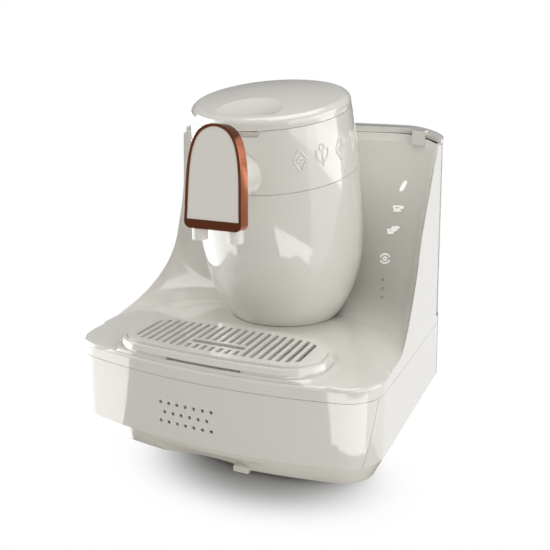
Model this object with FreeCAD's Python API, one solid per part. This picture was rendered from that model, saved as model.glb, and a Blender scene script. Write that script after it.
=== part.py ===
"""Electric turkish coffee maker: a leaning brewing barrel on a low body with a control wing.

Millimetres, +Z up, the user stands at -Y, the origin is on the floor under the middle of the body.
"""
import math
import os

import FreeCAD
import Part

V = FreeCAD.Vector

# Plan of the body: front bow, side flats and rear bow joined by tangent corner arcs.
HALF_W = 137.0
HALF_D = 125.4
FRONT_BOW_R = 505.0
FRONT_CORNER_R = 34.0
REAR_BOW_R = 800.0
REAR_CORNER_R = 22.0
DRAFT = 0.028

# Heights of the body.
FOOT_H = 3.0
PLINTH_TOP = 19.5
SEAM_Z = 72.5
DECK_Z = 84.0
WALL_TOP = 250.0
WALL_T = 2.8
SHOULDER_X = 92.0
SHOULDER_R = 95.0
PLINTH_INSET = 8.0
DECK_EDGE_R = 3.0
RECESS_R = 150.0
RECESS_DEPTH = 15.0
RECESS_TOP = 14.0
GAP = 0.3
CATCH_X = 31.5

# Leaning barrel: axis through the middle of the lid seam, radii by distance below that seam.
LEAN = 11.8
BARREL_Y = 9.6
BARREL_Z = 274.8
BARREL_R = ((0.0, 68.4), (25.0, 70.9), (55.0, 72.8), (85.0, 73.9), (115.0, 74.2), (145.0, 71.8),
            (172.0, 63.5), (196.0, 50.0))
RING_S = 51.5
BARREL_T = 2.6
BARREL_END_S = 190.0

# Lid of the barrel.
LID_RIM_H = 3.0
LID_EDGE_R = 8.0
LID_CROWN = 3.2
LID_HINGE_R = 74.0
LID_HINGE_H = -1.0
PIN_R = 1.5
EAR_R = 3.6

# Brewing chamber.
POT_R = 44.0
POT_TOP_S = 7.0
POT_BOTTOM_S = 52.0
POT_T = 1.5
MOUTH_R = 52.0

# Spout.
PLATE_HALF_W = 24.6
PLATE_TOP = 269.8
PLATE_BOTTOM = 190.0
PLATE_TOP_Y = -92.4
PLATE_LEAN = 5.0
PLATE_T = 14.0
TRIM_T = 2.2
TRIM_CHIN = 7.0
NECK_R = 19.0
NECK_Z = 226.0
NOZZLE_X = 15.6
NOZZLE_R = 6.2
NOZZLE_BORE_R = 4.2
NOZZLE_TIP_Z = 180.0
NOZZLE_Y = -90.2

# Drip tray and grille.
TRAY_HALF_W = 88.0
TRAY_FRONT = -117.5
TRAY_BACK = -47.0
TRAY_END_R = 30.0
TRAY_BOW_R = 600.0
TRAY_FLOOR_Z = 77.4
COLLAR_TOP = 88.6
TRAY_TOP_Z = 93.5
GRILLE_T = 2.5
SLOT_PITCH = 7.2
SLOT_W = 3.6

# Tank.
TANK_FRONT = 88.3
TANK_FLOOR = 80.5
TANK_T = 2.4
TANK_LID_T = 5.2
RECESS_ROUND = 78.0
RECESS_CENTRE = 33.6
TAB_X = 112.0
TAB_HALF_W = 5.5
LID_FRONT = 86.4
LID_EDGE = 1.6
LID_CLEAR_R = 84.5


def out(shape, name):
    """Writes one node and says how large it is."""
    solids = shape.Solids
    if not solids or not shape.isValid():
        raise ValueError(f"{name}: no valid solid")
    whole = solids[0] if len(solids) == 1 else Part.makeCompound(solids)
    whole.exportStep(f"parts/{name}.step")
    b = whole.BoundBox
    print(f"{name:18s} {len(solids)} {whole.Volume:10.0f}  {b.XMin:7.1f} {b.XMax:7.1f} "
          f"{b.YMin:7.1f} {b.YMax:7.1f} {b.ZMin:7.1f} {b.ZMax:7.1f}")


def box(x0, x1, y0, y1, z0, z1):
    return Part.makeBox(x1 - x0, y1 - y0, z1 - z0, V(x0, y0, z0))


def rod(r, base, direction, length):
    return Part.makeCylinder(r, length, V(*base), V(*direction))


def tangent_plan(half_w, front, back, front_r, rear_r, bow_f, bow_r, off, z):
    """Closed plan of tangent arcs and side lines, moved inward by off, at height z."""
    w = half_w - off
    cf = front + bow_f
    cb = back - bow_r
    yf = cf - math.sqrt((bow_f - front_r) ** 2 - (half_w - front_r) ** 2)
    yb = cb + math.sqrt((bow_r - rear_r) ** 2 - (half_w - rear_r) ** 2)
    af = math.atan2(half_w - front_r, cf - yf)
    ab = math.atan2(half_w - rear_r, yb - cb)
    rf, rr, bf, bb = front_r - off, rear_r - off, bow_f - off, bow_r - off
    xf, xb = half_w - front_r, half_w - rear_r

    def arc(cx, cy, r, a0, a1):
        p = [V(cx + r * math.cos(a), cy + r * math.sin(a), z) for a in (a0, (a0 + a1) / 2, a1)]
        return Part.Arc(p[0], p[1], p[2]).toShape()

    h = math.pi / 2
    edges = [
        arc(0, cf, bf, -h - af, -h + af),
        arc(xf, yf, rf, -h + af, 0.0),
        Part.makeLine(V(w, yf, z), V(w, yb, z)),
        arc(xb, yb, rr, 0.0, h - ab),
        arc(0, cb, bb, h - ab, h + ab),
        arc(-xb, yb, rr, h + ab, 2 * h),
        Part.makeLine(V(-w, yb, z), V(-w, yf, z)),
        arc(-xf, yf, rf, 2 * h, 3 * h - af),
    ]
    return Part.Wire(edges)


def body_plan(off, z):
    return tangent_plan(HALF_W, -HALF_D, HALF_D, FRONT_CORNER_R, REAR_CORNER_R,
                        FRONT_BOW_R, REAR_BOW_R, off, z)


def tray_plan(off, z):
    return tangent_plan(TRAY_HALF_W, TRAY_FRONT, TRAY_BACK, TRAY_END_R, TRAY_END_R,
                        TRAY_BOW_R, TRAY_BOW_R, off, z)


def between(plan, off0, z0, off1, z1):
    return Part.makeLoft([plan(off0, z0), plan(off1, z1)], True, True)


def draft_at(z):
    return max(0.0, DRAFT * (z - PLINTH_TOP))


def drafted(inset, z0, z1):
    return between(body_plan, draft_at(z0) + inset, z0, draft_at(z1) + inset, z1)


def lean(shape):
    """Carries a shape drawn about the local Z axis, seam at 0, onto the leaning barrel axis."""
    s = shape.copy()
    s.rotate(V(0, 0, 0), V(1, 0, 0), LEAN)
    s.translate(V(0, BARREL_Y, BARREL_Z))
    return s


def turned(points):
    """Solid of revolution about local Z from (radius, height) points joined by straight lines."""
    p = [V(r, 0, h) for r, h in points]
    face = Part.Face(Part.makePolygon(p + [p[0]]))
    return face.revolve(V(0, 0, 0), V(0, 0, 1), 360)


def barrel_curve(grow, s0, s1):
    """Smooth meridian of the barrel between two distances below the lid seam."""
    curve = Part.BSplineCurve()
    curve.interpolate([V(r + grow, 0, -s) for s, r in BARREL_R])
    a = curve.parameter(curve.value(curve.FirstParameter))
    lo = curve_at(curve, -s0)
    hi = curve_at(curve, -s1)
    return Part.Edge(curve, max(lo, a), hi)


def curve_at(curve, height):
    """Parameter where the meridian crosses a height, by bisection."""
    a, b = curve.FirstParameter, curve.LastParameter
    for _ in range(60):
        m = (a + b) / 2
        if curve.value(m).z > height:
            a = m
        else:
            b = m
    return (a + b) / 2


def barrel_solid(grow, s0, s1):
    """Solid barrel between two distances below the seam, grown by some millimetres."""
    side = barrel_curve(grow, s0, s1)
    top = side.valueAt(side.FirstParameter)
    low = side.valueAt(side.LastParameter)
    wire = Part.Wire([side, Part.makeLine(low, V(0, 0, low.z)),
                      Part.makeLine(V(0, 0, low.z), V(0, 0, top.z)),
                      Part.makeLine(V(0, 0, top.z), top)])
    return Part.Face(wire).revolve(V(0, 0, 0), V(0, 0, 1), 360)


# Hollow of the control wing and back wall: rear curve by height.
# Each level: height, right edge y, left edge y, wall y.
BOWL = ((84.0, -60.0, -60.0, 50.0), (90.0, -50.0, -25.0, 66.0), (98.0, -41.0, 5.0, 74.5),
        (114.0, -27.0, 40.0, 80.0), (146.0, -4.0, 66.0, 83.0), (185.0, 21.0, 79.0, 84.0),
        (215.0, 48.0, 80.5, 84.3), (243.0, 73.0, 81.0, 84.6), (262.0, 79.0, 81.0, 85.0))
BOWL_POWER = 2.4
# Flared lip along the top of the wall.
LIP = ((243.0, 73.0, 81.0, 84.6), (257.0, 78.6, 86.6, 90.2))


def shoulder(x):
    """How far the top edge has dropped at x."""
    run = max(0.0, abs(x) - SHOULDER_X)
    return SHOULDER_R - math.sqrt(SHOULDER_R ** 2 - run ** 2)


def crowned(z):
    """All the space under an arched top edge whose middle is at height z."""
    end = HALF_W + 3.0
    mid = (end + SHOULDER_X) / 2

    def at(x, height):
        return V(x, -200, height)

    low = z - shoulder(end)
    edges = [
        Part.makeLine(at(-SHOULDER_X, z), at(SHOULDER_X, z)),
        Part.Arc(at(SHOULDER_X, z), at(mid, z - shoulder(mid)), at(end, low)).toShape(),
        Part.makeLine(at(end, low), at(end, -50)),
        Part.makeLine(at(end, -50), at(-end, -50)),
        Part.makeLine(at(-end, -50), at(-end, low)),
        Part.Arc(at(-end, low), at(-mid, z - shoulder(mid)), at(-SHOULDER_X, z)).toShape(),
    ]
    return Part.Face(Part.Wire(edges)).extrude(V(0, 400, 0))


def bowl(grow, levels=BOWL):
    """Volume in front of the wing and the wall, from the deck up."""
    wires = []
    for z, right, left, wall in levels:
        a = HALF_W - draft_at(z) + 1.0 + grow
        pts = []
        for k in range(-9, 10):
            ang = (1 - abs(k) / 9) * math.pi / 2
            side = right if k > 0 else left
            if k == 0:
                pts.append(V(0, wall + grow, z))
                continue
            x = a * math.cos(ang) ** (2 / BOWL_POWER)
            y = side + (wall + grow - side) * math.sin(ang) ** (2 / BOWL_POWER)
            pts.append(V(math.copysign(x, k), y, z))
        curve = Part.BSplineCurve()
        curve.interpolate(pts)
        first, last = pts[0], pts[-1]
        wires.append(Part.Wire([
            curve.toShape(),
            Part.makeLine(last, V(last.x, -200, z)),
            Part.makeLine(V(last.x, -200, z), V(first.x, -200, z)),
            Part.makeLine(V(first.x, -200, z), first)]))
    return Part.makeLoft(wires, True, False)


def make_base():
    plate = between(body_plan, PLINTH_INSET, FOOT_H, 0.6, PLINTH_TOP)
    inner = between(body_plan, PLINTH_INSET + WALL_T, FOOT_H + WALL_T, WALL_T + 0.6, PLINTH_TOP + 1)
    plate = plate.cut(inner)
    # Finger recess under the front edge: a shallow lens with its own back wall.
    recess_y = -HALF_D + RECESS_DEPTH - RECESS_R
    back = rod(RECESS_R + WALL_T, (0, recess_y, FOOT_H), (0, 0, 1), RECESS_TOP + WALL_T - FOOT_H)
    plate = plate.fuse(back.common(between(body_plan, PLINTH_INSET, FOOT_H, 0.6, PLINTH_TOP)))
    plate = plate.cut(rod(RECESS_R, (0, recess_y, 0), (0, 0, 1), RECESS_TOP))
    for k in range(-4, 5):
        plate = plate.cut(box(k * 12.0 - 2, k * 12.0 + 2, 40, 84, 0, 8))
    # Small catch that shows under the front edge.
    plate = plate.fuse(box(CATCH_X - 6.5, CATCH_X + 6.5, -118.5, -108, 0.7, FOOT_H + 2.4))
    for x, y in FEET:
        plate = plate.cut(rod(6.2, (x, y, FOOT_H - 1), (0, 0, 1), 2.2))
    for x, y in SCREWS:
        plate = plate.fuse(rod(6.0, (x, y, FOOT_H), (0, 0, 1), 8.0))
    for x, y in BOARD_POSTS:
        plate = plate.fuse(rod(3.0, (x, y, FOOT_H), (0, 0, 1), BOARD_Z - FOOT_H))
    for x, y in SCREWS:
        plate = plate.cut(rod(1.9, (x, y, 0), (0, 0, 1), 14.0))
        plate = plate.cut(rod(4.0, (x, y, 0), (0, 0, 1), FOOT_H + 3.4))
    return plate


FEET = ((-106, -90), (106, -90), (-98, 84), (98, 84))
SCREWS = ((-112, -60), (112, -60), (-112, 58), (112, 58))
SPEAKER_X = -14.2
SPEAKER_Z = 42.5
HOLE_PITCH = 7.8
HOLE_ROW = 8.1
HOLE_R = 1.5
SEAM_Y = -93.9
SEAM_SLOPE = 0.25


def front_y(x):
    return -HALF_D + FRONT_BOW_R - math.sqrt(FRONT_BOW_R ** 2 - x * x)


def make_base_shell():
    outer = drafted(0.0, PLINTH_TOP + 0.0, SEAM_Z)
    inner = drafted(WALL_T, PLINTH_TOP - 1, SEAM_Z + 1)
    shell = outer.cut(inner)
    for x, y in SCREWS:
        post = rod(5.0, (x, y, 11.2), (0, 0, 1), SEAM_Z - 13.0)
        web = box(x, x + 22.5, y - 1.2, y + 1.2, 22, SEAM_Z - 4) if x > 0 else \
            box(x - 22.5, x, y - 1.2, y + 1.2, 22, SEAM_Z - 4)
        shell = shell.fuse(post.fuse(web).common(drafted(1.0, 11.0, SEAM_Z)))
    for x, y in SCREWS:
        shell = shell.cut(rod(1.5, (x, y, 11.0), (0, 0, 1), 20.0))
    holes = []
    for row, count in ((1, 7), (0, 6), (-1, 7)):
        for k in range(count):
            x = SPEAKER_X + (k - (count - 1) / 2) * HOLE_PITCH
            holes.append(rod(HOLE_R, (x, front_y(x) - 4, SPEAKER_Z + row * HOLE_ROW), (0, 1, 0), 12.0))
    seat = rod(22.4, (SPEAKER_X, -124, SPEAKER_Z), (0, 1, 0), 16).cut(
        rod(20.6, (SPEAKER_X, -125, SPEAKER_Z), (0, 1, 0), 20))
    # Slanted joint line near each front corner.
    slit = box(-200, 200, -0.25, 0.25, -60, 60)
    slit.rotate(V(0, 0, 0), V(1, 0, 0), -math.degrees(math.atan(SEAM_SLOPE)))
    slit.translate(V(0, SEAM_Y, 60.5))
    shell = shell.cut(slit.cut(drafted(0.6, 0, 100)).cut(box(-110, 110, -200, 0, 0, 100)))
    shell = shell.fuse(seat.common(drafted(1.0, PLINTH_TOP, SEAM_Z)))
    shell = shell.cut(Part.makeCompound(holes))
    return shell.cut(rod(7.0, (GLAND_X, HALF_D - 8, GLAND_Z), (0, 1, 0), 16.0))


GLAND_X = -70.0
GLAND_Z = 34.0


def make_shield():
    """Deck, control wing, back wall and side panels in one moulding."""
    slab = drafted(0.0, SEAM_Z + 0.4, DECK_Z)
    rim = [e for e in slab.Edges if abs(e.BoundBox.ZMin - DECK_Z) < 0.01]
    slab = slab.makeFillet(DECK_EDGE_R, rim)
    block = drafted(0.0, SEAM_Z + 0.4, WALL_TOP).common(crowned(WALL_TOP))
    block = block.cut(box(-200, 200, -200, -62, 0, 300))
    wall = block.cut(bowl(0.0)).cut(bowl(0.0, LIP)).fuse(slab)
    # Hollow behind the wall and wing, open to the back.
    core = drafted(WALL_T, DECK_Z - 3.0, WALL_TOP + 20)
    core = core.cut(box(-200, 200, -200, -20, 0, 300)).cut(bowl(WALL_T)).cut(bowl(WALL_T, LIP))
    core = core.cut(box(-200, 200, -200, 60, 0, DECK_Z + 4))
    wall = wall.cut(core)
    wall = wall.cut(box(-200, 200, TANK_FRONT, 200, TANK_FLOOR - 0.5, 300))
    under = drafted(WALL_T, SEAM_Z, DECK_Z - 3.0)
    under = under.cut(box(-200, 200, TANK_FRONT - 6, 200, TANK_FLOOR - 3.4, 300))
    wall = wall.cut(under)
    # Hole for the tray seat, seat of the tank socket and the mouth for the column.
    wall = wall.cut(between(tray_plan, -3.4, TRAY_FLOOR_Z - 9.0, -3.4, COLLAR_TOP + 5))
    wall = wall.cut(rod(9.3, (SOCKET_X, SOCKET_Y, 70), (0, 0, 1), 14))
    wall = wall.cut(lean(barrel_solid(GAP, 20.0, 195.9)))
    wall = wall.cut(rod(5.4, (0, HOSE_Y, 60), (0, 0, 1), 30))
    return max(wall.Solids, key=lambda s: s.Volume)


def make_tray_seat():
    """Pan and raised collar set in the deck, with a finger slot under the front rim of the tray."""
    seat = between(tray_plan, -3.4, TRAY_FLOOR_Z - 3.0, -3.4, COLLAR_TOP)
    seat = seat.cut(between(tray_plan, -0.5, TRAY_FLOOR_Z - 0.5, -0.5, COLLAR_TOP + 5))
    return seat.cut(box(-33, 33, -130, -116, COLLAR_TOP - 2.4, COLLAR_TOP + 1))


SOCKET_X = 92.0
SOCKET_Y = 102.0


def make_column_shell():
    body = barrel_solid(0.0, RING_S + 0.4, BARREL_END_S)
    inner = barrel_solid(-BARREL_T, RING_S - 4, BARREL_END_S - 3)
    body = body.cut(inner)
    body = lean(body)
    body = body.cut(box(-100, 100, -60, 160, 0, DECK_Z + GAP))
    body = body.cut(rod(4.4, (0, HOSE_Y, 80), (0, 0, 1), 30))
    body = body.cut(rod(4.0, (0, -90, VALVE_Z), (0, 1, 0), 70))
    return body.cut(rod(NECK_R - 4, (0, -90, NECK_Z), (0, 1, 0), 70))


def make_column_ring():
    ring = barrel_solid(0.0, 0.35, RING_S)
    inner = barrel_solid(-BARREL_T, -2.0, RING_S + 2)
    ring = ring.cut(turned(((0, -9.0), (69.5, -9.0), (69.5, -RING_S - 1), (0, -RING_S - 1))).common(inner))
    # Funnel-shaped top with the chamber mouth.
    ring = ring.cut(turned(((0, 1), (66.6, 1), (66.6, -1.2), (MOUTH_R, -3.4), (MOUTH_R, -10.0), (0, -10.0))))
    ring = ring.cut(turned(((MOUTH_R + 2.6, -6.4), (65.8, -6.4), (65.8, -10), (MOUTH_R + 2.6, -10))))
    notch = Part.makePolygon([V(-20, -90, -0.1), V(21, -90, -0.1), V(17, -90, -5.0), V(-16, -90, -5.0),
                              V(-20, -90, -0.1)])
    notch = Part.Face(notch).extrude(V(0, 25.5, 0)).common(barrel_solid(1, 0.1, 20))
    ring = ring.cut(notch)
    ears = []
    for x in (-13.0, 7.0):
        ear = rod(EAR_R, (x, LID_HINGE_R, LID_HINGE_H), (1, 0, 0), 6.0)
        foot = box(x, x + 6, 67.0, LID_HINGE_R + EAR_R, -14.0, LID_HINGE_H)
        ears.append(ear.fuse(foot))
    bridge = box(-13, 13, 67.0, LID_HINGE_R + EAR_R, -14.0, -7.0)
    ring = ring.fuse(ears[0]).fuse(ears[1]).fuse(bridge)
    ring = ring.cut(rod(PIN_R + 0.02, (-20, LID_HINGE_R, LID_HINGE_H), (1, 0, 0), 40))
    ring = lean(ring).cut(rod(4.0, (0, -90, VALVE_Z), (0, 1, 0), 70))
    return ring.cut(rod(NECK_R - 4, (0, -90, NECK_Z), (0, 1, 0), 70))


def lid_outline():
    pts = [(0.0, 0.0), (68.2, 0.0), (68.2, LID_RIM_H)]
    base = 68.2 - LID_EDGE_R
    for k in range(1, 8):
        a = k / 7 * math.pi / 2
        pts.append((base + LID_EDGE_R * math.cos(a), LID_RIM_H + LID_EDGE_R * 0.8 * math.sin(a)))
    edge = LID_RIM_H + LID_EDGE_R * 0.8
    for k in range(1, 9):
        r = base * (1 - k / 8)
        pts.append((r, edge + LID_CROWN * (1 - (r / base) ** 2)))
    return pts


def make_lid():
    cover = turned(lid_outline())
    hollow = turned(((0, -1), (65.4, -1), (65.4, LID_RIM_H), (60.0, LID_RIM_H + 3.2), (0, LID_RIM_H + 4.6)))
    cover = cover.cut(hollow)
    # Thumb scoop pressed into the front of the crown.
    scoop = Part.makeSphere(120.0, V(0, -52.0, 120.0 + 6.6))
    cover = cover.cut(scoop.common(turned(((0, 2), (58, 2), (58, 20), (0, 20)))))
    lug = rod(EAR_R - 0.6, (-6.4, LID_HINGE_R, LID_HINGE_H), (1, 0, 0), 12.8)
    arm = box(-6.4, 6.4, 62.5, LID_HINGE_R, LID_HINGE_H + 0.8, 3.2)
    cover = cover.fuse(lug.fuse(arm.cut(turned(((0, -3), (62.6, -3), (62.6, 6), (0, 6))))))
    cover = cover.cut(rod(PIN_R + GAP, (-20, LID_HINGE_R, LID_HINGE_H), (1, 0, 0), 40))
    return lean(cover)


def make_lid_liner():
    liner = turned(((0, -2.0), (MOUTH_R - 2.6, -2.0), (MOUTH_R - 2.6, 1.0), (62.0, 1.0), (62.0, 2.6), (0, 2.6)))
    plug = turned(((MOUTH_R - 6, 2.0), (MOUTH_R - 1.2, 2.0), (MOUTH_R - 1.2, -4.5), (MOUTH_R - 6, -4.5)))
    return lean(liner.fuse(plug))


def make_pot():
    pot = turned(((0, -POT_BOTTOM_S), (POT_R - 6, -POT_BOTTOM_S), (POT_R, -POT_BOTTOM_S + 6), (POT_R, -12.0),
                  (MOUTH_R + 1.6, -12.0), (MOUTH_R + 1.6, -10.6), (POT_R - POT_T, -10.6),
                  (POT_R - POT_T, -POT_BOTTOM_S + 7), (POT_R - 7, -POT_BOTTOM_S + POT_T),
                  (0, -POT_BOTTOM_S + POT_T)))
    pot = pot.cut(rod(2.05, (0, POT_R - 4, SENSOR_H), (0, 1, 0), 8))
    pot = lean(pot).cut(rod(VALVE_BORE, (0, OUTLET_Y, 205), (0, 0, 1), 16))
    return pot.cut(rod(HOSE_R + 0.02, (0, 50, HOSE_TOP), (0, 1, 0), 20))


def make_arch(off, y0, y1):
    """Arch-shaped plate blank drawn upright: off inward, from depth y0 to y1."""
    w = PLATE_HALF_W - off
    h = PLATE_TOP - PLATE_BOTTOM
    low, top = off, h - off
    pts = [(w, low + 6), (w - 0.6, 24), (w - 2.2, 50), (w - 4.6, 62), (w * 0.52, top - 4.6), (0, top)]
    right = Part.BSplineCurve()
    right.interpolate([V(x, y0, z) for x, z in pts + [(-x, z) for x, z in pts[-2::-1]]])
    c0, c1 = V(-w, y0, low + 6), V(w, y0, low + 6)
    edges = [right.toShape(),
             Part.Arc(c0, V(-w + 1.5, y0, low + 1.6), V(-w + 6, y0, low)).toShape(),
             Part.makeLine(V(-w + 6, y0, low), V(w - 6, y0, low)),
             Part.Arc(V(w - 6, y0, low), V(w - 1.5, y0, low + 1.6), c1).toShape()]
    return Part.Face(Part.Wire(edges)).extrude(V(0, y1 - y0, 0))


def stand(shape):
    """Leans an upright plate drawing back at the top and sets it at the front of the spout."""
    s = shape.copy()
    s.rotate(V(0, 0, 0), V(1, 0, 0), -PLATE_LEAN)
    h = PLATE_TOP - PLATE_BOTTOM
    s.translate(V(0, PLATE_TOP_Y - math.sin(math.radians(PLATE_LEAN)) * h,
                  PLATE_TOP - math.cos(math.radians(PLATE_LEAN)) * h))
    return s


def make_spout():
    body = stand(make_arch(TRIM_T + 0.2, 2.0, PLATE_T))
    neck = rod(NECK_R, (0, -86, NECK_Z), (0, 1, 0), 60)
    outer = body.fuse(neck).cut(lean(barrel_solid(GAP * 0.5, 0.0, 120.0)))
    cavity = stand(make_arch(TRIM_T + 2.6, 1.0, PLATE_T - 2.2))
    back = rod(3.7, (0, -92, VALVE_Z), (0, 1, 0), 60)
    tunnel = rod(NECK_R - 2.4, (0, -86, NECK_Z), (0, 1, 0), 60)
    outer = outer.cut(cavity).cut(tunnel).cut(back)
    for x in (-NOZZLE_X, NOZZLE_X):
        outer = outer.cut(rod(NOZZLE_R + 0.02, (x, NOZZLE_Y, 175), (0, 0, 1), 25.6))
        outer = outer.cut(rod(NOZZLE_BORE_R + 0.1, (x, NOZZLE_Y, 190), (0, 0, 1), 15))
    return max(outer.Solids, key=lambda s: s.Volume)


def make_trim():
    ring = make_arch(0.0, 0.0, PLATE_T - 2.0).cut(make_arch(TRIM_T, -1.0, PLATE_T))
    chin = make_arch(0.0, 0.0, PLATE_T - 2.0).common(box(-30, 30, -1, 1.9, 0, TRIM_CHIN))
    ring = stand(ring.fuse(chin))
    for x in (-NOZZLE_X, NOZZLE_X):
        ring = ring.cut(rod(NOZZLE_R + 0.02, (x, NOZZLE_Y, 175), (0, 0, 1), 25.6))
    return max(ring.Solids, key=lambda s: s.Volume)


def make_panel():
    blank = make_arch(TRIM_T + 0.1, 0.4, 1.9)
    return stand(blank.cut(box(-40, 40, -5, 5, -1, TRIM_CHIN + 0.1)))


def make_nozzle(x):
    tube = rod(NOZZLE_R, (x, NOZZLE_Y, NOZZLE_TIP_Z), (0, 0, 1), 19.5)
    tube = tube.cut(rod(NOZZLE_BORE_R, (x, NOZZLE_Y, NOZZLE_TIP_Z - 1), (0, 0, 1), 30))
    return tube


def pipe(points, r, bore):
    """Round tube along straight runs with ball corners."""
    outer = None
    inner = None
    for a, b in zip(points[:-1], points[1:]):
        d = V(*b) - V(*a)
        o = Part.makeCylinder(r, d.Length, V(*a), d)
        i = Part.makeCylinder(bore, d.Length, V(*a), d)
        outer = o if outer is None else outer.fuse(o).fuse(Part.makeSphere(r, V(*a)))
        inner = i if inner is None else inner.fuse(i).fuse(Part.makeSphere(bore, V(*a)))
    return outer.cut(inner)


def make_tray():
    tray = between(tray_plan, 0.0, TRAY_FLOOR_Z, 0.0, TRAY_TOP_Z - 4.0)
    tray = tray.fuse(between(tray_plan, -4.2, TRAY_TOP_Z - 4.4, -3.0, TRAY_TOP_Z))
    tray = tray.cut(between(tray_plan, 2.2, TRAY_FLOOR_Z + 2.0, 2.2, TRAY_TOP_Z + 1))
    return tray.cut(between(tray_plan, 0.6, TRAY_TOP_Z - GRILLE_T + 2.0, 0.6, TRAY_TOP_Z + 1))


def make_grille():
    plate = between(tray_plan, 0.9, TRAY_TOP_Z - GRILLE_T + 2.0, 0.9, TRAY_TOP_Z + 2.0)
    skirt = between(tray_plan, 2.6, TRAY_TOP_Z - 6.0, 2.6, TRAY_TOP_Z)
    skirt = skirt.cut(between(tray_plan, 4.4, TRAY_TOP_Z - 8.0, 4.4, TRAY_TOP_Z + 1))
    plate = plate.fuse(skirt)
    inside = between(tray_plan, 8.0, 60, 8.0, 120)
    cuts = []
    for k in range(-10, 11):
        x = k * SLOT_PITCH
        runs = ((-116, -100), (-88, -50)) if abs(k) <= 3 else ((-116, -50),)
        for y0, y1 in runs:
            cuts.append(box(x - SLOT_W / 2, x + SLOT_W / 2, y0, y1, 60, 120).common(inside))
    cuts.append(box(-24, 24, -97, -91, 60, 120))
    return plate.cut(Part.makeCompound(cuts))


def tank_blank(d, z0, z1):
    """Tank volume shrunk by d on every side."""
    t = drafted(0.8 + d, z0, z1)
    t = t.cut(box(-200, 200, -200, TANK_FRONT + d, 0, 400))
    # The recess stays as deep below the widest part of the barrel, so the tank lifts straight out.
    t = t.cut(rod(RECESS_ROUND + d, (0, RECESS_CENTRE, 0), (0, 0, 1), 166.0))
    return t.cut(lean(barrel_solid(2.0 + d, 0.0, 195.0)))


def make_tank():
    tank = tank_blank(0.0, TANK_FLOOR, WALL_TOP - 1.2).common(crowned(WALL_TOP - 1.2))
    tank = tank.cut(tank_blank(TANK_T, TANK_FLOOR + TANK_T, WALL_TOP + 5))
    tank = tank.fuse(rod(9.0, (SOCKET_X, SOCKET_Y, TANK_FLOOR - 9.0), (0, 0, 1), 10.0).cut(
        rod(7.0, (SOCKET_X, SOCKET_Y, TANK_FLOOR - 10.0), (0, 0, 1), 11.2)))
    tank = tank.cut(rod(3.6, (SOCKET_X, SOCKET_Y, TANK_FLOOR - 1), (0, 0, 1), 6))
    return max(tank.Solids, key=lambda s: s.Volume)


def make_valve_stem():
    stem = rod(3.0, (SOCKET_X, SOCKET_Y, TANK_FLOOR - 5.0), (0, 0, 1), 12.0)
    return stem.fuse(rod(5.6, (SOCKET_X, SOCKET_Y, TANK_FLOOR + TANK_T + 0.3), (0, 0, 1), 2.4))


def make_tank_lid():
    top = WALL_TOP + TANK_LID_T
    lid = drafted(0.2, WALL_TOP - 20, top + 5).common(crowned(top)).cut(crowned(WALL_TOP + GAP))
    rim = [e for e in lid.Edges if all(
        abs(e.valueAt(t).z - top + shoulder(e.valueAt(t).x)) < 0.05
        for t in (e.FirstParameter, (e.FirstParameter + e.LastParameter) / 2, e.LastParameter))]
    rim = [e for e in rim if e.BoundBox.XLength > 1.0]
    lid = lid.makeFillet(LID_EDGE, rim)
    round_clear = rod(LID_CLEAR_R, (0, BARREL_Y, 200), (0, 0, 1), 100)
    lid = lid.cut(box(-200, 200, -200, LID_FRONT, 0, 400)).cut(round_clear)
    lid = lid.cut(lean(barrel_solid(1.4, 0.0, 100.0)))
    hollow = drafted(3.4, WALL_TOP - 20, top).common(crowned(top - 2.2))
    hollow = hollow.cut(box(-200, 200, -200, LID_FRONT + 2.4, 0, 400))
    hollow = hollow.cut(rod(LID_CLEAR_R + 2.4, (0, BARREL_Y, 200), (0, 0, 1), 100))
    lid = lid.cut(hollow)
    x0, x1 = TAB_X - TAB_HALF_W, TAB_X + TAB_HALF_W
    tab = box(x0, x1, 77.0, 88.0, WALL_TOP - 8.5, WALL_TOP + 3).common(bowl(-0.6))
    tab = tab.fuse(box(x0, x1, 77.0, 90.0, WALL_TOP - shoulder(x0) + 0.6, top - 1.4))
    lid = lid.fuse(tab)
    return max(lid.Solids, key=lambda s: s.Volume)


SENSOR_H = -24.0
OUTLET_Y = -9.0
VALVE_Y = -25.0
VALVE_Z = 213.0
VALVE_BORE = 2.6
VALVE_TRAVEL = 6.5
PLUNGER_R = 3.0
HOSE_R = 3.4
HOSE_BORE = 2.0
HOSE_TOP = 243.0
HOSE_Y = 82.0
BOARD_Z = 16.0
BOARD_POSTS = ((22, -56), (98, -56), (22, 24), (98, 24))
PUMP_Z = 40.5
PUMP_Y = 22.0


def make_gasket():
    return lean(turned(((48.0, -10.6), (54.0, -10.6), (54.0, -9.0), (48.0, -9.0))))


def make_carrier():
    """Ring under the chamber flange that holds it to the column ring."""
    ring = turned(((44.6, -13.8), (66.4, -13.8), (66.4, -12.0), (44.6, -12.0)))
    holes = [rod(1.6, (60 * math.cos(k * math.pi / 2 + 0.8), 60 * math.sin(k * math.pi / 2 + 0.8), -15),
                 (0, 0, 1), 5) for k in range(4)]
    return lean(ring.cut(Part.makeCompound(holes)))


def pot_envelope(grow):
    return lean(turned(((0, -POT_BOTTOM_S - grow), (POT_R - 6 + grow, -POT_BOTTOM_S - grow),
                        (POT_R + grow, -POT_BOTTOM_S + 6), (POT_R + grow, -12.0), (0, -12.0))))


def make_heater():
    ring = lean(turned(((14.0, -POT_BOTTOM_S - 5.2), (35.0, -POT_BOTTOM_S - 5.2),
                        (35.0, -POT_BOTTOM_S), (14.0, -POT_BOTTOM_S))))
    ring = ring.cut(box(-10.4, 10.4, -60, 4.5, 180, 260))
    return max(ring.Solids, key=lambda q: q.Volume)


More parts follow.
